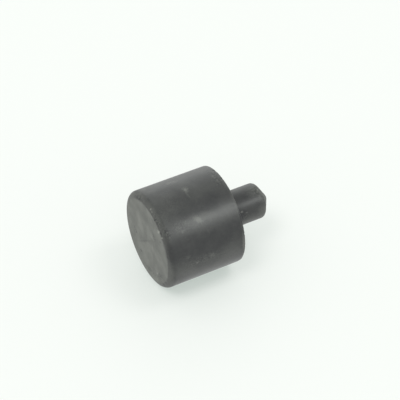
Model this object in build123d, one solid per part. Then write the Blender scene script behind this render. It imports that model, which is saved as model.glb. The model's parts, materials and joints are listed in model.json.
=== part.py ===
from build123d import *
import os

# A rubber buffer, moulded in one piece. It stands on its striking face with the
# stem pointing up. The origin is the centre of that face and +Z runs up the axis.
# Lengths are in millimetres and angles in degrees.

# Head, the round block that takes the blow
head_diameter = 25.0
head_height = 20.25
shoulder_edge_radius = 0.15

# Bevel round the striking face
bevel_width = 1.5
bevel_height = 0.6
bevel_inner_radius = 0.3
bevel_outer_radius = 0.6

# Stem, the plain peg that is pressed into the hole of what carries the buffer
stem_diameter = 9.2
stem_length = 10.35
stem_root_fillet = 0.4

# Tip, the short cone that leads the stem into its hole, with its point cut off
tip_height = 2.3
tip_top_diameter = 1.7
tip_foot_radius = 1.2
tip_cut_slant = 5.0
tip_cut_bearing = 180.0

# Levels up the axis, and the radii of the turned steps
shoulder_level = head_height
tip_foot_level = shoulder_level + stem_length
tip_top_level = tip_foot_level + tip_height
head_radius = head_diameter / 2
face_radius = head_radius - bevel_width
stem_radius = stem_diameter / 2
tip_top_radius = tip_top_diameter / 2


def turned_body():
    """Head, stem and tip in one, from a half section turned about the axis."""
    with BuildPart() as body:
        with BuildSketch(Plane.XZ):
            with BuildLine():
                outline = FilletPolyline(
                    (0, 0),
                    (face_radius, 0),
                    (head_radius, bevel_height),
                    (head_radius, shoulder_level),
                    (stem_radius, shoulder_level),
                    (stem_radius, tip_foot_level),
                    (tip_top_radius, tip_top_level),
                    radius=[
                        bevel_inner_radius,
                        bevel_outer_radius,
                        shoulder_edge_radius,
                        stem_root_fillet,
                        tip_foot_radius,
                    ],
                )
                Polyline(outline @ 1, (0, tip_top_level), outline @ 0)
            make_face()
        revolve(axis=Axis.Z)
    return body.part


def cut_off_point(body):
    """Slices the cone's point at a slant, which leaves one lip at its full height."""
    lip = Rot(Z=tip_cut_bearing) * Pos(X=tip_top_radius, Z=tip_top_level)
    blade = Plane(lip * Rot(Y=-tip_cut_slant))
    return split(body, bisect_by=blade, keep=Keep.BOTTOM)


rubber_buffer = cut_off_point(turned_body())

os.makedirs("parts", exist_ok=True)
export_step(rubber_buffer, "parts/rubber_buffer.step")
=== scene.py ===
import json
import math

import bmesh
import bpy
from mathutils import Matrix, Vector, noise


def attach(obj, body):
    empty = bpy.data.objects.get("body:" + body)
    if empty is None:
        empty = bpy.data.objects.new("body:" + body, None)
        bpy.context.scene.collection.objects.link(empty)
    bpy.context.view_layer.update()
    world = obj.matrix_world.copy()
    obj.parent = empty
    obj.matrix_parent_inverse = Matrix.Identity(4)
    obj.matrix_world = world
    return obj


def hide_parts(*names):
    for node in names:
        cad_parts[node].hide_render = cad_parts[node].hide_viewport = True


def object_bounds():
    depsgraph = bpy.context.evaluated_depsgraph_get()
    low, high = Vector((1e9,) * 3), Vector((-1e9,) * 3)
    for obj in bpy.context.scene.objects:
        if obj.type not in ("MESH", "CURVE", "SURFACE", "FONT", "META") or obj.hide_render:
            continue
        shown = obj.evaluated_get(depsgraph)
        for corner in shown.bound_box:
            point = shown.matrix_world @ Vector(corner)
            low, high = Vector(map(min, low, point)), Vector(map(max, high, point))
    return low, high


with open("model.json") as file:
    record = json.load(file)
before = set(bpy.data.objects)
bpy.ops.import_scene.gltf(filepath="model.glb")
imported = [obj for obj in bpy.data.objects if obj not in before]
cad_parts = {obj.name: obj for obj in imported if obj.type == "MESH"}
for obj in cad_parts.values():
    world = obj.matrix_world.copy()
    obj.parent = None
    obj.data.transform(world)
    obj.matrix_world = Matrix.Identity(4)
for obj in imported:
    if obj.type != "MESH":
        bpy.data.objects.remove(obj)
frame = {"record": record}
cad_low, cad_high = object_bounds()

# Sizes of the moulding, in metres. The main ones come from the frame
MM = 0.001
mounts = {mount["name"]: mount for mount in frame["record"]["mounts"]}
HEAD_RADIUS = cad_high.x
HEAD_DIAMETER = 2 * HEAD_RADIUS
BEVEL_WIDTH = 1.5 * MM
BEVEL_HEIGHT = 0.6 * MM
BEVEL_INNER_ROUND = 0.3 * MM
BEVEL_OUTER_ROUND = 1.3 * MM  # moulded at 0.6 and rubbed rounder since
SHOULDER = mounts["shoulder"]["pos_m"][2]
SHOULDER_ROUND = 0.15 * MM
STEM_RADIUS = mounts["stem"]["dims"]["r_mm"] * MM
STEM_ROOT_ROUND = 0.4 * MM
TIP_TOP = cad_high.z
TIP_HEIGHT = 2.3 * MM
TIP_FOOT_ROUND = 1.2 * MM
TIP_TOP_RADIUS = 0.85 * MM
TIP_TOP_ROUND = 0.08 * MM
TIP_CUT_SLANT = math.radians(5)
TIP_LIP_BEARING = math.radians(180)
FACE_RADIUS = HEAD_RADIUS - BEVEL_WIDTH
TIP_FOOT = TIP_TOP - TIP_HEIGHT

# How the photograph shows the buffer: places in its 400 pixel frame, and the turns of the axis
PHOTO_SIDE_PX = 400
PHOTO_MIDDLE_PX = (PHOTO_SIDE_PX - 1) / 2
FACE_CENTRE_PX = (146.76, 240.41)
HEAD_WIDTH_PX = 103.35
AXIS_RISE = math.radians(20.21)
AXIS_RECEDES = math.radians(20.57)
CAMERA_RANGE = 15 * HEAD_DIAMETER
CLIP_NEAR = 0.01
CLIP_FAR = 10.0
SENSOR_MM = 36.0

UP = Vector((0, 0, 1))

# The side of the head that is uppermost in the photograph
UPPER_SIDE = Vector((-1, 1, 0)).normalized()


def heading(bearing, rise=0):
    """Direction with that bearing from +X and that rise above the horizon, in degrees."""
    turn = math.radians(bearing)
    lift = math.radians(rise)
    return Vector((math.cos(turn) * math.cos(lift), math.sin(turn) * math.cos(lift), math.sin(lift)))


# Camera

def photo_axes():
    """Camera right, down and forward, as directions in the part's frame."""
    axis = Vector(
        (
            math.cos(AXIS_RECEDES) * math.cos(AXIS_RISE),
            -math.cos(AXIS_RECEDES) * math.sin(AXIS_RISE),
            math.sin(AXIS_RECEDES),
        )
    )
    # The upper side is square to the axis and stands upright in the picture
    looks_down = math.atan2(-axis.y, axis.z)
    upward = Vector((0, -math.cos(looks_down), -math.sin(looks_down)))
    seen = Matrix((axis, upward, axis.cross(upward))).transposed()
    own = Matrix((UP, UPPER_SIDE, UP.cross(UPPER_SIDE))).transposed()
    to_part = own @ seen.transposed()
    return to_part.col[0], to_part.col[1], to_part.col[2]


def photo_camera():
    """Makes the camera that sees the buffer as the photograph does."""
    right, down, forward = photo_axes()
    focal_px = HEAD_WIDTH_PX * CAMERA_RANGE / HEAD_DIAMETER
    across = (FACE_CENTRE_PX[0] - PHOTO_MIDDLE_PX) / focal_px
    below = (FACE_CENTRE_PX[1] - PHOTO_MIDDLE_PX) / focal_px
    data = bpy.data.cameras.new("photo_camera")
    data.sensor_width = SENSOR_MM
    data.lens = SENSOR_MM * focal_px / PHOTO_SIDE_PX
    data.clip_start = CLIP_NEAR
    data.clip_end = CLIP_FAR
    camera = bpy.data.objects.new("photo_camera", data)
    turn = Matrix((right, -down, -forward)).transposed().to_4x4()
    stand = -CAMERA_RANGE * (across * right + below * down + forward)
    camera.matrix_world = Matrix.Translation(stand) @ turn
    bpy.context.scene.collection.objects.link(camera)
    bpy.context.scene.camera = camera


# The moulding's outline, a half section in radius and height

TURN_STEPS = 360


def spaced(start, end, gap):
    """Points from start towards end, about a gap apart and without the end itself."""
    steps = max(1, round((end - start).length / gap))
    return [start.lerp(end, i / steps) for i in range(steps)]


def rounding(before, corner, after, radius):
    """Centre, first and last point of the arc that rounds a corner off."""
    back = (before - corner).normalized()
    onward = (after - corner).normalized()
    half = back.angle(onward) / 2
    centre = corner + (back + onward).normalized() * radius / math.sin(half)
    reach = radius / math.tan(half)
    return centre, corner + back * reach, corner + onward * reach


def outline():
    """Points down the half section, from the face's centre to the top of the tip."""
    corners = [
        Vector((0, 0)),
        Vector((FACE_RADIUS, 0)),
        Vector((HEAD_RADIUS, BEVEL_HEIGHT)),
        Vector((HEAD_RADIUS, SHOULDER)),
        Vector((STEM_RADIUS, SHOULDER)),
        Vector((STEM_RADIUS, TIP_FOOT)),
        Vector((TIP_TOP_RADIUS, TIP_TOP)),
        Vector((0, TIP_TOP)),
    ]
    # Radius of each corner's rounding, and the steps that it is drawn in
    rounds = [
        (BEVEL_INNER_ROUND, 4),
        (BEVEL_OUTER_ROUND, 8),
        (SHOULDER_ROUND, 5),
        (STEM_ROOT_ROUND, 6),
        (TIP_FOOT_ROUND, 9),
        (TIP_TOP_ROUND, 3),
    ]
    # Gap between the points on each straight stretch
    gaps = [0.28 * MM, 0.12 * MM, 0.25 * MM, 0.42 * MM, 0.22 * MM, 0.14 * MM, 0.12 * MM]
    points = []
    start = corners[0]
    for i, (radius, steps) in enumerate(rounds):
        centre, first, last = rounding(corners[i], corners[i + 1], corners[i + 2], radius)
        points += spaced(start, first, gaps[i])
        for k in range(steps):
            spoke = (first - centre).lerp(last - centre, k / steps).normalized()
            points.append(centre + spoke * radius)
        start = last
    points += spaced(start, corners[-1], gaps[-1])
    points.append(corners[-1])
    return points


# Wear that changes the shape, always into the rubber

# Nicks and pits: bearing in degrees, then radius, height, reach and depth in millimetres
NICKS = [
    (143.0, 11.8, 0.30, 0.40, 0.14),
    (146.4, 11.6, 0.25, 0.35, 0.12),
    (149.5, 11.2, 0.10, 0.40, 0.08),
    (158.5, 11.3, 0.12, 0.45, 0.09),
    (166.7, 11.7, 0.28, 0.40, 0.10),
    (172.4, 10.9, 0.02, 0.45, 0.20),
    (-179.0, 11.1, 0.05, 0.45, 0.15),
    (-172.0, 11.8, 0.30, 0.35, 0.08),
    (177.0, 12.45, 0.90, 0.30, 0.06),
    (-178.5, 12.4, 0.75, 0.30, 0.07),
    (117.5, 11.8, 0.30, 0.70, 0.10),
    (206.0, 11.3, 0.10, 0.50, 0.10),
    (-104.0, 11.0, 0.05, 0.70, 0.10),
    (-92.0, 11.2, 0.10, 0.60, 0.12),
    (-70.0, 11.6, 0.20, 0.50, 0.08),
    (31.0, 11.5, 0.20, 0.60, 0.12),
    (76.0, 11.1, 0.05, 0.45, 0.10),
    (92.0, 10.4, 0.0, 0.40, 0.08),
    (37.0, 7.0, 0.0, 0.35, 0.05),
    (28.0, 6.2, 0.0, 0.30, 0.05),
    (-16.0, 7.1, 0.0, 0.40, 0.06),
    (-80.0, 9.6, 0.0, 0.50, 0.08),
    (-66.0, 8.1, 0.0, 0.40, 0.06),
    (136.0, 12.5, 10.4, 0.45, 0.06),
    (123.0, 12.5, 19.9, 0.60, 0.16),
    (140.0, 12.5, 20.0, 0.45, 0.12),
    (58.0, 12.5, 19.8, 0.55, 0.14),
    (-48.0, 12.5, 20.0, 0.50, 0.15),
    (-150.0, 12.5, 20.1, 0.35, 0.12),
    (-163.5, 4.6, 24.0, 0.30, 0.07),
    (-154.0, 4.6, 25.2, 0.26, 0.06),
    (140.0, 4.5, 30.0, 0.45, 0.12),
    (118.0, 4.4, 30.3, 0.40, 0.10),
]


# Depth and patch size of the unevenness all over the skin
SKIN_WAVES = [(0.020 * MM, 5 * MM), (0.010 * MM, 1.1 * MM)]

# Ragged rim of the shoulder
RIM_DEPTH = 0.09 * MM
RIM_PATCH = 0.7 * MM
RIM_REACH = 0.5 * MM

# Torn skin of the tip, which starts a little below the foot of the cone
TORN_DEPTH = 0.07 * MM
TORN_PATCH = 0.55 * MM
TORN_START = TIP_FOOT - 0.6 * MM
TORN_RUN_IN = 2.2 * MM


def pressed(point, place, reach):
    """1 at the place, easing to 0 at its reach."""
    away = (point - place).length / reach
    return max(0.0, 1 - away * away) ** 2


def swell(point, patch):
    """Smooth random change between 0 and 1, in patches of that size."""
    return 0.5 + 0.5 * noise.noise(point / patch)


def wear_depth(point, nicks):
    """How far the worn surface lies under the moulded one at that point."""
    depth = sum(deep * swell(point, patch) for deep, patch in SKIN_WAVES)
    radius = math.hypot(point.x, point.y)
    rim = pressed(Vector((radius, point.z)), Vector((HEAD_RADIUS, SHOULDER)), RIM_REACH)
    depth += RIM_DEPTH * rim * swell(point, RIM_PATCH) ** 2
    if point.z > TORN_START:
        torn = min(1.0, (point.z - TORN_START) / TORN_RUN_IN)
        depth += TORN_DEPTH * torn * swell(point, TORN_PATCH) ** 2
    for place, reach, deep in nicks:
        if abs(point.z - place.z) < reach:
            depth += deep * pressed(point, place, reach)
    return depth


def cut_height(x, y):
    """Height of the slanted cut over a place on the tip."""
    toward_lip = x * math.cos(TIP_LIP_BEARING) + y * math.sin(TIP_LIP_BEARING)
    return TIP_TOP + (toward_lip - TIP_TOP_RADIUS) * math.tan(TIP_CUT_SLANT)


def moulding():
    """The rubber body, turned from its outline and then worn."""
    nicks = [
        (heading(bearing) * radius * MM + Vector((0, 0, height * MM)), reach * MM, depth * MM)
        for bearing, radius, height, reach, depth in NICKS
    ]
    points = outline()
    form = bmesh.new()
    rings = []
    for k, point in enumerate(points):
        onward = points[min(k + 1, len(points) - 1)] - points[max(k - 1, 0)]
        outward = Vector((onward.y, -onward.x)).normalized()
        ring = []
        for i in range(TURN_STEPS if point.x > 0 else 1):
            spoke = heading(360 * i / TURN_STEPS)
            place = spoke * point.x + Vector((0, 0, point.y))
            place.z = min(place.z, cut_height(place.x, place.y))
            normal = spoke * outward.x + Vector((0, 0, outward.y))
            ring.append(form.verts.new(place - normal * wear_depth(place, nicks)))
        rings.append(ring)
    for lower, upper in zip(rings, rings[1:]):
        for i in range(TURN_STEPS):
            j = (i + 1) % TURN_STEPS
            if len(lower) == 1:
                form.faces.new((lower[0], upper[j], upper[i]))
            elif len(upper) == 1:
                form.faces.new((lower[i], lower[j], upper[0]))
            else:
                form.faces.new((lower[i], lower[j], upper[j], upper[i]))
    mesh = bpy.data.meshes.new("rubber_moulding")
    form.to_mesh(mesh)
    form.free()
    mesh.shade_smooth()
    piece = bpy.data.objects.new("rubber_moulding", mesh)
    bpy.context.scene.collection.objects.link(piece)
    return piece


# Nodes

# The Mix node's sockets for colours, which share their names with others
MIX_COLOURS_IN = (6, 7)
MIX_COLOUR_OUT = 2

VECTOR = "NodeSocketVector"
NUMBER = "NodeSocketFloat"


def plug(tree, socket, value):
    """Links a socket to another one, or sets it to a plain value."""
    if isinstance(value, bpy.types.NodeSocket):
        tree.links.new(value, socket)
    else:
        socket.default_value = value


def math_node(tree, kind, operation, values):
    """Node of that kind and operation, with its inputs filled in order."""
    node = tree.nodes.new(kind)
    node.operation = operation
    for socket, value in zip(node.inputs, values):
        plug(tree, socket, value)
    return node


def calc(tree, operation, *values):
    """Result of a Math node."""
    return math_node(tree, "ShaderNodeMath", operation, values).outputs["Value"]


def vector_calc(tree, operation, *values):
    """Result of a Vector Math node that gives a vector."""
    return math_node(tree, "ShaderNodeVectorMath", operation, values).outputs["Vector"]


def measure(tree, operation, *values):
    """Result of a Vector Math node that gives a number."""
    return math_node(tree, "ShaderNodeVectorMath", operation, values).outputs["Value"]


def fade(tree, value, start, end, low=0.0, high=1.0):
    """Smooth change from low to high as the value goes from start to end."""
    node = tree.nodes.new("ShaderNodeMapRange")
    node.interpolation_type = "SMOOTHSTEP"
    settings = {"Value": value, "From Min": start, "From Max": end, "To Min": low, "To Max": high}
    for name, setting in settings.items():
        plug(tree, node.inputs[name], setting)
    return node.outputs["Result"]


def swing(tree, value, start, end, amount):
    """Smooth change from minus that amount to plus it as the value goes from start to end."""
    return fade(tree, value, start, end, -amount, amount)


def add_share(tree, total, mask, amount):
    """The total, and that amount more where the mask is 1."""
    return calc(tree, "ADD", total, calc(tree, "MULTIPLY", mask, amount))


def cloud(tree, point, scale, detail=2.0, roughness=0.5):
    """Noise Texture, with about that many patches to the millimetre."""
    node = tree.nodes.new("ShaderNodeTexNoise")
    settings = {"Vector": point, "Scale": scale, "Detail": detail, "Roughness": roughness}
    for name, setting in settings.items():
        plug(tree, node.inputs[name], setting)
    return node.outputs["Fac"]


def colour_between(tree, share, first, second):
    """Mix of two colours."""
    node = tree.nodes.new("ShaderNodeMix")
    node.data_type = "RGBA"
    plug(tree, node.inputs["Factor"], share)
    for place, colour in zip(MIX_COLOURS_IN, (first, second)):
        plug(tree, node.inputs[place], colour)
    return node.outputs[MIX_COLOUR_OUT]


def new_mask_group(name, inputs):
    """Empty node group with those inputs and a mask as its output, and its two end nodes."""
    tree = bpy.data.node_groups.new(name, "ShaderNodeTree")
    for socket, kind in inputs.items():
        tree.interface.new_socket(name=socket, in_out="INPUT", socket_type=kind)
    tree.interface.new_socket(name="Mask", in_out="OUTPUT", socket_type=NUMBER)
    return tree, tree.nodes.new("NodeGroupInput"), tree.nodes.new("NodeGroupOutput")


def mask_from(tree, group, **values):
    """Places a group, and gives its mask."""
    node = tree.nodes.new("ShaderNodeGroup")
    node.node_tree = group
    for name, value in values.items():
        plug(tree, node.inputs[name], value)
    return node.outputs["Mask"]


def placed_mark_group():
    """A ragged oval mark at a place on the surface. Lengths are in millimetres."""
    inputs = {
        "Point": VECTOR,
        "Place": VECTOR,
        "Along": VECTOR,
        "Length": NUMBER,
        "Width": NUMBER,
        "Ragged": NUMBER,
    }
    tree, given, result = new_mask_group("placed_mark", inputs)
    point = given.outputs["Point"]
    away = vector_calc(tree, "SUBTRACT", point, given.outputs["Place"])
    along = measure(tree, "DOT_PRODUCT", away, given.outputs["Along"])
    whole = measure(tree, "DOT_PRODUCT", away, away)
    across = calc(tree, "SUBTRACT", whole, calc(tree, "MULTIPLY", along, along))
    across = calc(tree, "SQRT", calc(tree, "MAXIMUM", across, 0.0))
    along = calc(tree, "DIVIDE", along, given.outputs["Length"])
    across = calc(tree, "DIVIDE", across, given.outputs["Width"])
    square = calc(tree, "ADD", calc(tree, "MULTIPLY", along, along), calc(tree, "MULTIPLY", across, across))
    torn = calc(tree, "SUBTRACT", cloud(tree, point, scale=2.6, detail=3.0, roughness=0.6), 0.5)
    oval = add_share(tree, calc(tree, "SQRT", square), torn, given.outputs["Ragged"])
    plug(tree, result.inputs["Mask"], fade(tree, oval, start=1.1, end=0.1))
    return tree


# The smallest speck, and the solid middle of each, as shares of its full radius
SPECK_LEAST = 0.4
SPECK_SOLID = 0.4


def specks_group():
    """Scattered specks, a share of the cells holding one. Lengths are in millimetres."""
    inputs = {"Point": VECTOR, "Cells": NUMBER, "Radius": NUMBER, "Share": NUMBER}
    tree, given, result = new_mask_group("specks", inputs)
    cells = tree.nodes.new("ShaderNodeTexVoronoi")
    plug(tree, cells.inputs["Vector"], given.outputs["Point"])
    plug(tree, cells.inputs["Scale"], given.outputs["Cells"])
    parts = tree.nodes.new("ShaderNodeSeparateColor")
    plug(tree, parts.inputs["Color"], cells.outputs["Color"])
    kept = calc(tree, "LESS_THAN", parts.outputs["Red"], given.outputs["Share"])
    size = calc(tree, "ADD", parts.outputs["Green"], SPECK_LEAST)
    size = calc(tree, "MULTIPLY", given.outputs["Radius"], size)
    size = calc(tree, "MULTIPLY", size, given.outputs["Cells"])
    solid = calc(tree, "MULTIPLY", size, SPECK_SOLID)
    spot = fade(tree, cells.outputs["Distance"], start=size, end=solid)
    plug(tree, result.inputs["Mask"], calc(tree, "MULTIPLY", kept, spot))
    return tree


def hairlines_group():
    """Thin wandering scratches that run along one direction."""
    inputs = {"Point": VECTOR, "Stretch": VECTOR, "Scale": NUMBER, "Width": NUMBER}
    tree, given, result = new_mask_group("hairlines", inputs)
    point = vector_calc(tree, "MULTIPLY", given.outputs["Point"], given.outputs["Stretch"])
    wander = cloud(tree, point, given.outputs["Scale"], detail=1.0)
    ridge = calc(tree, "ABSOLUTE", calc(tree, "SUBTRACT", wander, 0.5))
    line = fade(tree, ridge, start=given.outputs["Width"], end=0.0)
    gaps = fade(tree, cloud(tree, given.outputs["Point"], scale=0.35, detail=1.0), start=0.52, end=0.66)
    plug(tree, result.inputs["Mask"], calc(tree, "MULTIPLY", line, gaps))
    return tree


# Marks on the rubber. Bearings are in degrees, lengths in millimetres
HEAD_MM = HEAD_RADIUS / MM
STEM_MM = STEM_RADIUS / MM
SHOULDER_MM = SHOULDER / MM


def on_wall(bearing, height, radius=HEAD_MM):
    """Place on a round wall."""
    return heading(bearing) * radius + Vector((0, 0, height))


def round_wall(bearing):
    """Direction round the wall at that bearing."""
    return heading(bearing + 90)


# Each mark's place, direction, length, width, raggedness and strength, below 0 where it is dark
MARKS = [
    # Round wall, where the front lamp shines: pale marks laid along that band to brighten and widen its
    # highlight, a painted highlight
    (on_wall(175.4, 9.6), (UP + round_wall(175)).normalized(), 1.7, 1.0, 1.2, 0.24),
    (on_wall(175.0, 10.0), UP, 4.6, 1.7, 1.2, 0.08),
    (on_wall(174.5, 6.9), UP, 1.4, 1.0, 1.4, 0.06),
    (on_wall(177.1, 4.2), UP, 1.1, 0.9, 1.6, 0.08),
    (on_wall(-178.3, 4.9), UP, 0.8, 0.45, 1.4, 0.12),
    (on_wall(170.4, 0.9), round_wall(170.4), 0.9, 0.6, 1.2, 0.10),
    (on_wall(177.6, 13.8), UP, 3.0, 1.2, 0.8, 0.04),
    (on_wall(-174.0, 13.0), UP, 11.0, 1.8, 0.8, 0.05),
    # Round wall, upper side in the photograph
    (on_wall(145.0, 2.6), round_wall(145.0), 6.5, 5.0, 1.0, 0.11),
    (on_wall(162.0, 1.5), round_wall(162.0), 2.6, 1.8, 1.2, 0.09),
    (on_wall(145.0, 12.0), UP, 11.0, 5.0, 1.0, 0.06),
    # Darker patch between the highlight and the paler upper side: painted shade
    (on_wall(157.0, 15.5), UP, 3.0, 2.4, 0.8, -0.05),
    (on_wall(136.1, 10.4), round_wall(136.1), 1.2, 0.9, 1.8, 0.27),
    (on_wall(143.9, 10.1), round_wall(143.9), 1.6, 0.45, 1.6, 0.10),
    (on_wall(114.8, 8.2), UP, 1.1, 0.9, 1.6, 0.15),
    (on_wall(115.2, 9.8), UP, 0.9, 0.6, 1.6, 0.16),
    (on_wall(118.4, 3.8), UP, 2.4, 1.2, 1.3, 0.08),
    (on_wall(123.1, 19.2), round_wall(123.1), 1.2, 0.35, 1.8, 0.18),
    (on_wall(127.0, 18.8), round_wall(127.0), 1.2, 0.24, 1.4, -0.08),
    (on_wall(132.2, 18.5), round_wall(132.2), 1.3, 0.32, 1.8, 0.12),
    (on_wall(141.7, 18.8), round_wall(141.7), 1.1, 0.4, 1.8, 0.11),
    (on_wall(145.0, 19.6), round_wall(145.0), 5.0, 0.6, 1.4, 0.06),
    (on_wall(123.0, 6.0), UP, 6.0, 2.6, 0.8, -0.06),
    (on_wall(104.0, 2.2), round_wall(104.0), 2.6, 1.0, 0.8, 0.14),
    # Round wall, lower side in the photograph
    (on_wall(-139.3, 11.1), (UP + round_wall(-139.3) * 0.8).normalized(), 1.3, 0.7, 2.2, 0.14),
    (on_wall(-147.5, 4.8), UP, 1.2, 0.7, 2.0, 0.09),
    (on_wall(-136.0, 7.0), UP, 0.7, 0.5, 1.6, 0.18),
    (on_wall(-132.0, 3.0), UP, 4.4, 4.4, 1.2, 0.13),
    (on_wall(-122.0, 11.0), UP, 11.0, 4.0, 1.5, 0.07),
    (on_wall(-136.0, 17.6), UP, 6.0, 3.6, 1.0, 0.09),
    (on_wall(-135.5, 10.5), UP, 3.6, 2.2, 0.9, 0.09),
    (on_wall(-108.0, 2.2), round_wall(-108.0), 2.6, 1.0, 0.8, 0.14),
    (on_wall(-140.0, 19.8), round_wall(-140.0), 5.0, 0.6, 1.2, 0.22),
    # Dark line along the shoulder's rim next to the stem: painted shade
    (on_wall(-170.0, 20.05), round_wall(-170.0), 2.8, 0.34, 0.8, -0.26),
    # Edge of the striking face. Most of its dark spots sit in the nicks, as painted shade
    (heading(151.0) * 10.8, heading(151.0), 0.7, 0.35, 0.8, 0.25),
    (heading(149.5) * 11.3, heading(149.5), 0.5, 0.35, 0.8, -0.30),
    (heading(157.5) * 11.3, heading(160.0), 0.6, 0.35, 1.2, -0.22),
    (heading(162.0) * 11.5, heading(150.0), 0.5, 0.30, 1.2, -0.22),
    (heading(166.7) * 11.6, heading(166.7), 0.5, 0.35, 0.8, -0.30),
    (heading(-180.0) * 11.6, heading(-180.0), 0.5, 0.32, 0.8, -0.26),
    (heading(110.0) * 11.2, heading(20.0), 3.0, 1.0, 1.6, -0.22),
    (on_wall(176.3, 0.9), round_wall(176.3), 0.4, 0.22, 1.0, -0.14),
    (on_wall(-179.3, 0.8), round_wall(-179.3), 0.4, 0.22, 1.0, 0.14),
    # Darker stretch of the edge on its shaded side: painted shade
    (heading(203.0) * 11.6, heading(113.0), 3.4, 0.9, 1.0, -0.05),
    (heading(174.5) * 11.2, heading(84.5), 0.9, 0.45, 0.8, -0.32),
    (on_wall(-179.0, 1.0), round_wall(-179.0), 2.6, 0.8, 0.8, 0.13),
    (on_wall(116.0, 0.9), round_wall(116.0), 5.0, 0.8, 0.8, 0.13),
    (on_wall(-110.0, 0.9), round_wall(-110.0), 2.6, 0.9, 0.8, 0.15),
    # Striking face
    (heading(87.0) * 4.4, heading(128.0), 4.4, 2.2, 0.9, 0.20),
    (heading(-120.0) * 6.2, heading(-30.0), 3.8, 2.6, 1.2, 0.10),
    (heading(150.0) * 6.5, heading(60.0), 3.2, 2.0, 1.2, -0.10),
    (heading(5.0) * 2.4, heading(5.0), 7.0, 0.42, 0.7, -0.15),
    (heading(62.0) * 8.4, heading(150.0), 10.0, 4.6, 0.9, 0.07),
    (heading(173.0) * 5.7, heading(100.0), 1.6, 0.8, 2.2, -0.26),
    (heading(169.0) * 4.3, heading(90.0), 1.0, 0.7, 1.6, 0.16),
    (heading(-173.0) * 8.9, heading(-173.0), 1.0, 0.4, 1.6, -0.22),
    (heading(-138.0) * 2.8, heading(-55.0), 2.0, 0.55, 1.4, 0.20),
    # Dark spots in the pits of the face: painted shade
    (heading(37.0) * 7.0, heading(120.0), 0.55, 0.40, 1.0, -0.36),
    (heading(28.0) * 6.2, heading(120.0), 0.50, 0.35, 1.0, -0.28),
    (heading(-16.0) * 7.1, heading(100.0), 0.65, 0.45, 1.0, -0.34),
    (heading(-52.0) * 8.9, heading(38.0), 3.0, 0.8, 2.8, -0.26),
    (heading(-88.0) * 9.0, heading(2.0), 2.6, 0.9, 2.8, -0.26),
    # Stem
    (on_wall(150.0, 28.8, STEM_MM), UP, 2.8, 2.2, 1.4, 0.15),
    (on_wall(130.0, 29.2, STEM_MM), UP, 2.0, 1.6, 1.6, 0.08),
    (on_wall(165.0, 30.5, STEM_MM), round_wall(165.0), 3.2, 1.0, 1.2, 0.13),
    (heading(172.0) * 2.7 + UP * 31.8, heading(82.0), 2.2, 2.2, 1.8, 0.30),
    (on_wall(-118.0, 27.0, STEM_MM), UP, 6.5, 2.4, 0.9, 0.17),
    (on_wall(-146.0, 29.6, STEM_MM), UP, 1.9, 2.2, 1.2, 0.16),
    (on_wall(-90.0, 29.0, STEM_MM), UP, 1.8, 1.4, 1.6, 0.08),
    # Sides that the photograph does not show
    (on_wall(24.0, 12.5), UP, 3.5, 1.1, 1.8, 0.07),
    (on_wall(8.0, 4.0), round_wall(8.0), 2.6, 1.2, 1.6, 0.08),
    (on_wall(-24.0, 9.0), (UP + round_wall(-24.0)).normalized(), 2.2, 0.6, 2.0, 0.12),
    (on_wall(52.0, 16.0), round_wall(52.0), 1.6, 0.6, 1.8, 0.12),
    (on_wall(-58.0, 5.0), UP, 3.2, 1.8, 1.4, 0.06),
    (on_wall(84.0, 7.0), UP, 4.0, 2.0, 1.4, 0.06),
    (heading(15.0) * 9.4 + UP * SHOULDER_MM, heading(105.0), 2.8, 1.0, 1.6, 0.10),
    (heading(-125.0) * 8.4 + UP * SHOULDER_MM, heading(-35.0), 2.4, 1.2, 1.6, 0.08),
    (heading(95.0) * 10.2 + UP * SHOULDER_MM, heading(5.0), 2.0, 0.7, 1.8, 0.12),
    (on_wall(20.0, 27.0, STEM_MM), UP, 3.0, 1.2, 1.4, 0.08),
    (on_wall(-40.0, 24.5, STEM_MM), round_wall(-40.0), 1.2, 0.5, 1.4, 0.10),
]

# Place, direction, length, width and strength of each pale chip, where the skin is torn
CHIPS = [
    (heading(143.0) * 11.8 + UP * 0.3, heading(143.0), 0.40, 0.30, 0.7),
    (heading(146.4) * 11.6 + UP * 0.25, heading(146.4), 0.30, 0.25, 0.5),
    (heading(172.4) * 10.2, heading(172.4), 0.85, 0.46, 0.65),
    (heading(170.6) * 10.2, heading(80.6), 0.40, 0.35, 0.5),
    (heading(-179.0) * 10.9, heading(-179.0), 0.50, 0.26, 0.6),
    (heading(-82.0) * 8.4, heading(10.0), 0.45, 0.30, 0.4),
    (heading(-58.0) * 9.2, heading(32.0), 0.45, 0.22, 0.3),
    (on_wall(136.1, 10.35), round_wall(136.1), 0.50, 0.30, 0.11),
    (on_wall(-136.0, 7.0), UP, 0.40, 0.30, 0.10),
    (on_wall(-163.3, 24.0, STEM_MM), UP, 0.50, 0.36, 0.24),
    (on_wall(-155.0, 25.3, STEM_MM), UP, 0.40, 0.30, 0.13),
    (on_wall(146.0, 30.1, STEM_MM), round_wall(146.0), 0.30, 0.18, 0.3),
]

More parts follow.
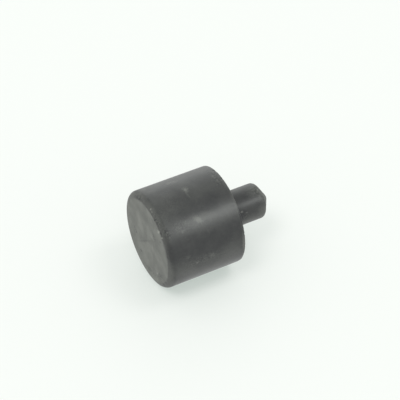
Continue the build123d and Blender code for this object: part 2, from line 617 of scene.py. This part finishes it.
# The same for each roughened place, which is pale and dark in fine crumbs
ROUGH = [
    (heading(-58.0) * 8.9, heading(32.0), 3.8, 1.4, 1.0),
    (heading(-92.0) * 9.2, heading(-2.0), 3.0, 1.4, 1.0),
    (heading(173.0) * 5.4, heading(100.0), 2.0, 1.4, 0.7),
    (heading(33.0) * 6.7, heading(120.0), 2.0, 0.9, 0.6),
    (heading(54.0) * 9.4, heading(144.0), 4.0, 1.2, 0.6),
    (heading(18.0) * 9.7, heading(108.0), 4.5, 1.2, 0.8),
    (heading(-24.0) * 9.6, heading(66.0), 4.5, 1.2, 0.8),
    (heading(-14.0) * 7.2, heading(105.0), 1.8, 1.0, 0.8),
    (heading(158.0) * 11.4, heading(68.0), 4.2, 1.0, 1.0),
    (heading(112.0) * 11.4, heading(22.0), 3.4, 1.1, 0.8),
    (on_wall(178.0, 1.2), round_wall(178.0), 2.2, 1.3, 0.8),
    (on_wall(176.0, 5.0), UP, 4.0, 2.2, 0.4),
    (on_wall(116.0, 8.8), UP, 2.6, 1.4, 0.6),
    (on_wall(132.0, 18.7), round_wall(132.0), 5.0, 1.5, 0.5),
    (on_wall(30.0, 6.0), UP, 3.5, 1.8, 0.4),
    (on_wall(-48.0, 13.0), UP, 3.0, 1.6, 0.4),
    (on_wall(68.0, 3.0), round_wall(68.0), 3.5, 1.6, 0.5),
    (heading(-70.0) * 9.5 + UP * SHOULDER_MM, heading(20.0), 3.0, 1.5, 0.5),
    (heading(40.0) * 8.0 + UP * SHOULDER_MM, heading(130.0), 2.6, 1.4, 0.4),
    (on_wall(-138.0, 8.5), UP, 5.0, 2.0, 0.35),
    (on_wall(146.0, 29.6, STEM_MM), round_wall(146.0), 2.6, 1.6, 0.7),
    (on_wall(-146.0, 24.8, STEM_MM), UP, 1.6, 1.4, 0.5),
    (on_wall(177.0, 30.7, STEM_MM), round_wall(177.0), 2.4, 0.9, 0.6),
    (heading(-178.0) * 1.1 + UP * 32.7, heading(92.0), 1.4, 0.7, 0.5),
]


# Colours of the rubber: clean, under a full bloom, and freshly torn. The bloom colour also paints
# highlights along the band where the front lamp shines
CLEAN_COLOUR = (0.017, 0.0178, 0.0192, 1)
BLOOM_AND_HIGHLIGHT_COLOUR = (0.20, 0.2062, 0.185, 1)
CHIP_COLOUR = (0.40, 0.41, 0.37, 1)

# Scale, detail and roughness of the clouds that vary the skin
CLOUDS = {
    "smudge": (0.22, 3.0, 0.5),
    "stain": (0.26, 2.0, 0.5),
    "mottle": (1.1, 3.0, 0.6),
    "crumb": (2.4, 3.0, 0.7),
    "grit": (5.0, 2.0, 0.6),
}

# The middle range of each cloud, over which it takes effect
SMUDGE_RANGE = (0.35, 0.68)
STAIN_RANGE = (0.36, 0.64)
MOTTLE_RANGE = (0.35, 0.65)
CRUMB_RANGE = (0.38, 0.62)
GRIT_RANGE = (0.3, 0.7)
GLOSS_RANGE = (0.3, 0.7)

# Bloom of the plain wall, and what each zone, each grain and each cloud adds to it. The stem's foot takes
# less, a painted shade in the corner where the stem meets the shoulder, and the worn edge's bloom is left
# off towards one side as painted shade
WALL_BLOOM = 0.055
ZONE_BLOOM_AND_SHADE = {"worn_edge": 1.0, "face": 0.65, "tip": 0.14, "torn": 0.12, "rim": 0.12, "foot": -0.04}
GRAIN_BLOOM = {"dust": 0.30, "scratch": 0.05, "crumbs": 0.23}
SMUDGE_BLOOM = 0.030
STAIN_BLOOM = 0.10
MOTTLE_BLOOM = 0.012
MOTTLE_BLOOM_AT_FACE = 0.02
GRIT_BLOOM = 0.010

# How the rubber bends light, and its roughness on the plain wall, with what adds to that
RUBBER_IOR = 1.5
WALL_ROUGHNESS = 0.365
MOTTLE_ROUGHNESS = 0.015
ZONE_ROUGHNESS = {
    "face": 0.13,
    "edge": 0.06,
    "low_wall": 0.11,
    "back": 0.04,
    "shoulder": 0.20,
    "cone": 0.34,
    "torn": 0.10,
    "foot": 0.06,
}

# How much each grain stands out of the skin
RELIEF = {"grit": 0.35, "mottle": 0.45, "smudge": 2.0, "dust": 0.5, "crumbs": 0.6, "scratch": -0.25}
RELIEF_HEIGHT = 0.05 * MM
RELIEF_STRENGTH = 0.5

# How ragged the outline of each kind of place is
CRUMBS_RAGGED = 1.6
CHIPS_RAGGED = 0.8
FACE_RAGGED_MM = 1.3
EDGE_RAGGED_MM = 1.2

# Where each zone begins and where it is full, as heights and radii in millimetres
FACE_MM = FACE_RADIUS / MM
TIP_FOOT_MM = TIP_FOOT / MM
TIP_TOP_MM = TIP_TOP / MM
TIP_TOP_RADIUS_MM = TIP_TOP_RADIUS / MM
FACE_RADII = (FACE_MM + 0.15, FACE_MM - 0.35)
FACE_HEIGHTS = (0.30, 0.10)
EDGE_HEIGHTS = (1.3, 0.3)
LOW_WALL_HEIGHTS = (6.0, 0.5)
BACK_HEIGHTS = (SHOULDER_MM - 0.1, SHOULDER_MM + 0.1)
SHOULDER_RADII = (HEAD_MM - 0.1, HEAD_MM - 0.6)
RIM_RADII = (HEAD_MM - 0.5, HEAD_MM - 0.1)
STEM_FOOT_HEIGHTS = (SHOULDER_MM + 5.5, SHOULDER_MM + 2.5)
TIP_HEIGHTS = (TIP_FOOT_MM - 1.6, TIP_FOOT_MM + 0.6)
CONE_HEIGHTS = (TIP_FOOT_MM - 0.4, TIP_FOOT_MM + 0.4)
TORN_HEIGHTS = (TIP_FOOT_MM, TIP_TOP_MM - 0.3)
TORN_RADII = (TIP_TOP_RADIUS_MM + 0.5, TIP_TOP_RADIUS_MM)

# The same for the shoulder and its rim, as distances above or below the shoulder's level
SHOULDER_DISTANCES = (0.3, 0.1)
RIM_DISTANCES = (0.90, 0.15)

# The bearing towards which the face's pale border ends further in and the edge's pale wear fades out, so
# that side of the edge is darker: painted shade. Ranges are shares of the head's radius towards it
SHADED_EDGE_BEARING = 200
SHADED_BORDER_RANGE = (0.62, 0.84)
SHADED_BORDER_MM = 0.45
RUBBED_AND_SHADED_RANGE = (0.998, 0.84)
RUBBED_BLOOM = 0.24
FAR_RUBBED_RANGE = (0.35, -0.10)
FAR_RUBBED_BLOOM = 0.10


def in_millimetres(tree):
    """Place on the surface, in millimetres from the part's origin."""
    scaled = tree.nodes.new("ShaderNodeVectorMath")
    scaled.operation = "SCALE"
    plug(tree, scaled.inputs["Vector"], tree.nodes.new("ShaderNodeTexCoord").outputs["Object"])
    scaled.inputs["Scale"].default_value = 1 / MM
    return scaled.outputs["Vector"]


def end_zones(tree, level, radius, height, centred_mottle):
    """Masks of the striking face, of its edge and of the wall next to them."""
    toward_shaded_edge = measure(tree, "DOT_PRODUCT", level, heading(SHADED_EDGE_BEARING))
    toward_shaded_edge = calc(tree, "DIVIDE", toward_shaded_edge, HEAD_MM)
    # Towards the shaded bearing the pale face ends further in: painted shade
    shaded_border = fade(tree, toward_shaded_edge, *SHADED_BORDER_RANGE, high=SHADED_BORDER_MM)
    ragged_radius = add_share(tree, radius, centred_mottle, FACE_RAGGED_MM)
    ragged_radius = calc(tree, "ADD", ragged_radius, shaded_border)
    face = fade(tree, ragged_radius, *FACE_RADII)
    face = calc(tree, "MULTIPLY", face, fade(tree, height, *FACE_HEIGHTS))
    edge = fade(tree, add_share(tree, height, centred_mottle, EDGE_RAGGED_MM), *EDGE_HEIGHTS)
    edge = calc(tree, "MULTIPLY", edge, calc(tree, "SUBTRACT", 1.0, face))
    # The edge's pale wear fades out towards the shaded bearing: painted shade
    rubbed_and_shaded = fade(tree, toward_shaded_edge, *RUBBED_AND_SHADED_RANGE, high=RUBBED_BLOOM)
    far_rubbed = fade(tree, toward_shaded_edge, *FAR_RUBBED_RANGE, high=FAR_RUBBED_BLOOM)
    return {
        "face": face,
        "edge": edge,
        "worn_edge": calc(tree, "MULTIPLY", edge, calc(tree, "ADD", rubbed_and_shaded, far_rubbed)),
        "low_wall": fade(tree, height, *LOW_WALL_HEIGHTS),
    }


def shoulder_zones(tree, radius, height):
    """Masks of the shoulder, of its rim, of all that lies behind it and of the stem's foot."""
    off_shoulder = calc(tree, "ABSOLUTE", calc(tree, "SUBTRACT", height, SHOULDER_MM))
    near_shoulder = fade(tree, off_shoulder, *SHOULDER_DISTANCES)
    near_rim = fade(tree, off_shoulder, *RIM_DISTANCES)
    back = fade(tree, height, *BACK_HEIGHTS)
    return {
        "shoulder": calc(tree, "MULTIPLY", near_shoulder, fade(tree, radius, *SHOULDER_RADII)),
        "rim": calc(tree, "MULTIPLY", near_rim, fade(tree, radius, *RIM_RADII)),
        "back": back,
        "foot": calc(tree, "MULTIPLY", fade(tree, height, *STEM_FOOT_HEIGHTS), back),
    }


def tip_zones(tree, radius, height, centred_mottle):
    """Masks of the stem's end, of its cone and of the torn top."""
    ragged_height = add_share(tree, height, centred_mottle, EDGE_RAGGED_MM)
    top = fade(tree, radius, *TORN_RADII)
    return {
        "tip": fade(tree, ragged_height, *TIP_HEIGHTS),
        "cone": fade(tree, height, *CONE_HEIGHTS),
        "torn": calc(tree, "MULTIPLY", top, fade(tree, height, *TORN_HEIGHTS)),
    }


def rubber_zones(tree, point, mottle):
    """Masks of the zones of the moulding, by name."""
    axes = tree.nodes.new("ShaderNodeSeparateXYZ")
    plug(tree, axes.inputs["Vector"], point)
    height = axes.outputs["Z"]
    level = vector_calc(tree, "MULTIPLY", point, Vector((1, 1, 0)))
    radius = measure(tree, "LENGTH", level)
    centred_mottle = calc(tree, "SUBTRACT", mottle, 0.5)
    return {
        **end_zones(tree, level, radius, height, centred_mottle),
        **shoulder_zones(tree, radius, height),
        **tip_zones(tree, radius, height, centred_mottle),
    }


def strongest_mark(tree, mark, point, spots, ragged):
    """The strongest of those spots at each point."""
    strongest = 0.0
    for spot, along, length, width, strength in spots:
        mask = mask_from(
            tree, mark, Point=point, Place=spot, Along=along, Length=length, Width=width, Ragged=ragged
        )
        strongest = calc(tree, "MAXIMUM", strongest, calc(tree, "MULTIPLY", mask, strength))
    return strongest


def skin_grain(tree, point, mark):
    """Clouds and masks of the grain and the wear that cover the skin, by name."""
    grain = {name: cloud(tree, point, *settings) for name, settings in CLOUDS.items()}
    rough = strongest_mark(tree, mark, point, ROUGH, CRUMBS_RAGGED)
    grain["crumbs"] = calc(tree, "MULTIPLY", rough, swing(tree, grain["crumb"], *CRUMB_RANGE, 1.0))
    grain["dust"] = mask_from(tree, specks_group(), Point=point, Cells=0.55, Radius=0.10, Share=0.16)
    grain["scratch"] = mask_from(
        tree, hairlines_group(), Point=point, Stretch=Vector((1, 1, 0.35)), Scale=0.5, Width=0.008
    )
    return grain


def bloom_and_painted_light_over(tree, point, mark, zones, grain):
    """Share of pale bloom at each point, from 0 to 1, with painted highlights and painted shade laid in by
    some marks and zones.
    """
    bloom = WALL_BLOOM
    for name, amount in ZONE_BLOOM_AND_SHADE.items():
        bloom = add_share(tree, bloom, zones[name], amount)
    bloom = calc(tree, "ADD", bloom, swing(tree, grain["smudge"], *SMUDGE_RANGE, SMUDGE_BLOOM))
    bloom = calc(tree, "ADD", bloom, swing(tree, grain["grit"], *GRIT_RANGE, GRIT_BLOOM))
    bloom = add_share(tree, bloom, zones["face"], swing(tree, grain["stain"], *STAIN_RANGE, STAIN_BLOOM))
    face_and_edge = calc(tree, "ADD", zones["face"], zones["edge"])
    patchy = add_share(tree, MOTTLE_BLOOM, face_and_edge, MOTTLE_BLOOM_AT_FACE)
    bloom = add_share(tree, bloom, swing(tree, grain["mottle"], *MOTTLE_RANGE, 1.0), patchy)
    for spot, along, length, width, ragged, strength in MARKS:
        mask = mask_from(
            tree, mark, Point=point, Place=spot, Along=along, Length=length, Width=width, Ragged=ragged
        )
        bloom = add_share(tree, bloom, mask, strength)
    for name, amount in GRAIN_BLOOM.items():
        bloom = add_share(tree, bloom, grain[name], amount)
    return calc(tree, "MINIMUM", calc(tree, "MAXIMUM", bloom, 0.0), 1.0)


def black_rubber():
    """Black moulded rubber with a pale bloom, thicker on the face, the edges and the tip, with painted
    highlights and painted shade laid into that bloom.
    """
    material = bpy.data.materials.new("black_rubber")
    material.use_nodes = True
    tree = material.node_tree
    shader = tree.nodes["Principled BSDF"]
    shader.inputs["IOR"].default_value = RUBBER_IOR
    mark = placed_mark_group()
    point = in_millimetres(tree)
    grain = skin_grain(tree, point, mark)
    zones = rubber_zones(tree, point, grain["mottle"])

    bloom = bloom_and_painted_light_over(tree, point, mark, zones, grain)
    chips = strongest_mark(tree, mark, point, CHIPS, CHIPS_RAGGED)
    rubber = colour_between(tree, bloom, CLEAN_COLOUR, BLOOM_AND_HIGHLIGHT_COLOUR)
    plug(tree, shader.inputs["Base Color"], colour_between(tree, chips, rubber, CHIP_COLOUR))

    uneven_gloss = swing(tree, grain["mottle"], *GLOSS_RANGE, MOTTLE_ROUGHNESS)
    roughness = calc(tree, "ADD", WALL_ROUGHNESS, uneven_gloss)
    for name, amount in ZONE_ROUGHNESS.items():
        roughness = add_share(tree, roughness, zones[name], amount)
    plug(tree, shader.inputs["Roughness"], roughness)

    relief = 0.0
    for name, amount in RELIEF.items():
        relief = add_share(tree, relief, grain[name], amount)
    bump = tree.nodes.new("ShaderNodeBump")
    bump.inputs["Strength"].default_value = RELIEF_STRENGTH
    bump.inputs["Distance"].default_value = RELIEF_HEIGHT
    plug(tree, bump.inputs["Height"], relief)
    plug(tree, shader.inputs["Normal"], bump.outputs["Normal"])
    return material


# The studio

SHEET_HALF_SIDE = 3.0
TABLE_COLOUR = (0.412, 0.386, 0.394, 1)
TABLE_GLOW = (0.418, 0.475, 0.440, 1)
FLOOR_COLOUR = (0.37, 0.378, 0.37, 1)
FLOOR_GLOW = (0.57, 0.585, 0.57, 1)
SURROUND_COLOUR = (0.975, 0.995, 0.975, 1)
SURROUND_LIGHT = 0.93
LAMP_COLOUR = (0.965, 1.0, 0.965)


def sheet_material(name, colour, glow):
    """Takes shadow on its front, where it also glows a little, and is clear from behind."""
    material = bpy.data.materials.new(name)
    material.use_nodes = True
    tree = material.node_tree
    tree.nodes.clear()
    lit = tree.nodes.new("ShaderNodeBsdfDiffuse")
    lit.inputs["Color"].default_value = colour
    shine = tree.nodes.new("ShaderNodeEmission")
    shine.inputs["Color"].default_value = glow
    both = tree.nodes.new("ShaderNodeAddShader")
    clear = tree.nodes.new("ShaderNodeBsdfTransparent")
    facing = tree.nodes.new("ShaderNodeNewGeometry")
    choose = tree.nodes.new("ShaderNodeMixShader")
    out = tree.nodes.new("ShaderNodeOutputMaterial")
    tree.links.new(lit.outputs["BSDF"], both.inputs[0])
    tree.links.new(shine.outputs["Emission"], both.inputs[1])
    tree.links.new(facing.outputs["Backfacing"], choose.inputs[0])
    tree.links.new(both.outputs["Shader"], choose.inputs[1])
    tree.links.new(clear.outputs["BSDF"], choose.inputs[2])
    tree.links.new(choose.outputs["Shader"], out.inputs["Surface"])
    return material


def pale_sheet(name, point, normal, colour, glow):
    """A white sheet that takes the buffer's shadow and is seen only from its front."""
    mesh = bpy.data.meshes.new(name)
    turn = normal.to_track_quat("Z", "Y").to_matrix()
    corners = []
    for x, y in ((-1, -1), (1, -1), (1, 1), (-1, 1)):
        corners.append(turn @ Vector((x * SHEET_HALF_SIDE, y * SHEET_HALF_SIDE, 0)) + point)
    mesh.from_pydata(corners, [], [(0, 1, 2, 3)])
    mesh.materials.append(sheet_material(name, colour, glow))
    sheet = bpy.data.objects.new(name, mesh)
    bpy.context.scene.collection.objects.link(sheet)
    sheet.visible_diffuse = False
    sheet.visible_glossy = False
    sheet.visible_transmission = False
    sheet.visible_shadow = False
    return sheet


def studio_world():
    """White all round: what the camera and the gloss see is white, and its light is plain."""
    world = bpy.data.worlds.new("studio")
    bpy.context.scene.world = world
    world.use_nodes = True
    tree = world.node_tree
    path = tree.nodes.new("ShaderNodeLightPath")
    seen = calc(tree, "MAXIMUM", path.outputs["Is Camera Ray"], path.outputs["Is Transmission Ray"])
    seen = calc(tree, "MAXIMUM", seen, path.outputs["Is Glossy Ray"])
    level = tree.nodes.new("ShaderNodeMapRange")
    level.inputs["To Min"].default_value = SURROUND_LIGHT
    level.inputs["To Max"].default_value = 1.0
    plug(tree, level.inputs["Value"], seen)
    sky = tree.nodes["Background"]
    sky.inputs["Color"].default_value = SURROUND_COLOUR
    plug(tree, sky.inputs["Strength"], level.outputs["Result"])


def soft_lamp(name, toward, strength, spread):
    """A broad far lamp whose light comes from that direction. The spread is in degrees."""
    data = bpy.data.lights.new(name, "SUN")
    data.energy = strength
    data.color = LAMP_COLOUR
    data.angle = math.radians(spread)
    lamp = bpy.data.objects.new(name, data)
    lamp.rotation_mode = "QUATERNION"
    lamp.rotation_quaternion = toward.to_track_quat("Z", "Y")
    bpy.context.scene.collection.objects.link(lamp)
    return lamp


def light_only(lamp, *lit_pieces):
    """Keeps a lamp's light to these pieces."""
    lit = bpy.data.collections.new(f"{lamp.name}_lights")
    for lit_piece in lit_pieces:
        lit.objects.link(lit_piece)
    lamp.light_linking.receiver_collection = lit


photo_camera()
piece = moulding()
piece.data.materials.append(black_rubber())
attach(piece, "root")
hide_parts("rubber_buffer")

# The table that the buffer lies on in the photograph, and the floor that it stands on
table = pale_sheet("table", -HEAD_RADIUS * UPPER_SIDE, UPPER_SIDE, TABLE_COLOUR, TABLE_GLOW)
floor = pale_sheet("floor", Vector((0, 0, 0)), UP, FLOOR_COLOUR, FLOOR_GLOW)
studio_world()
front_lamp = soft_lamp("front_lamp", heading(176, 18), strength=0.92, spread=22)
light_only(front_lamp, piece, floor)
soft_lamp("back_lamp", heading(66, 26), strength=0.50, spread=50)

# Two lamps over the table alone, which narrow the shadow under the buffer at both of its ends
face_end_lamp = soft_lamp("table_lamp_face_end", heading(148, -26), strength=0.84, spread=23)
light_only(face_end_lamp, table)
stem_end_lamp = soft_lamp("table_lamp_stem_end", heading(148, 26), strength=0.50, spread=23)
light_only(stem_end_lamp, table)
bpy.context.scene.view_settings.view_transform = "Standard"
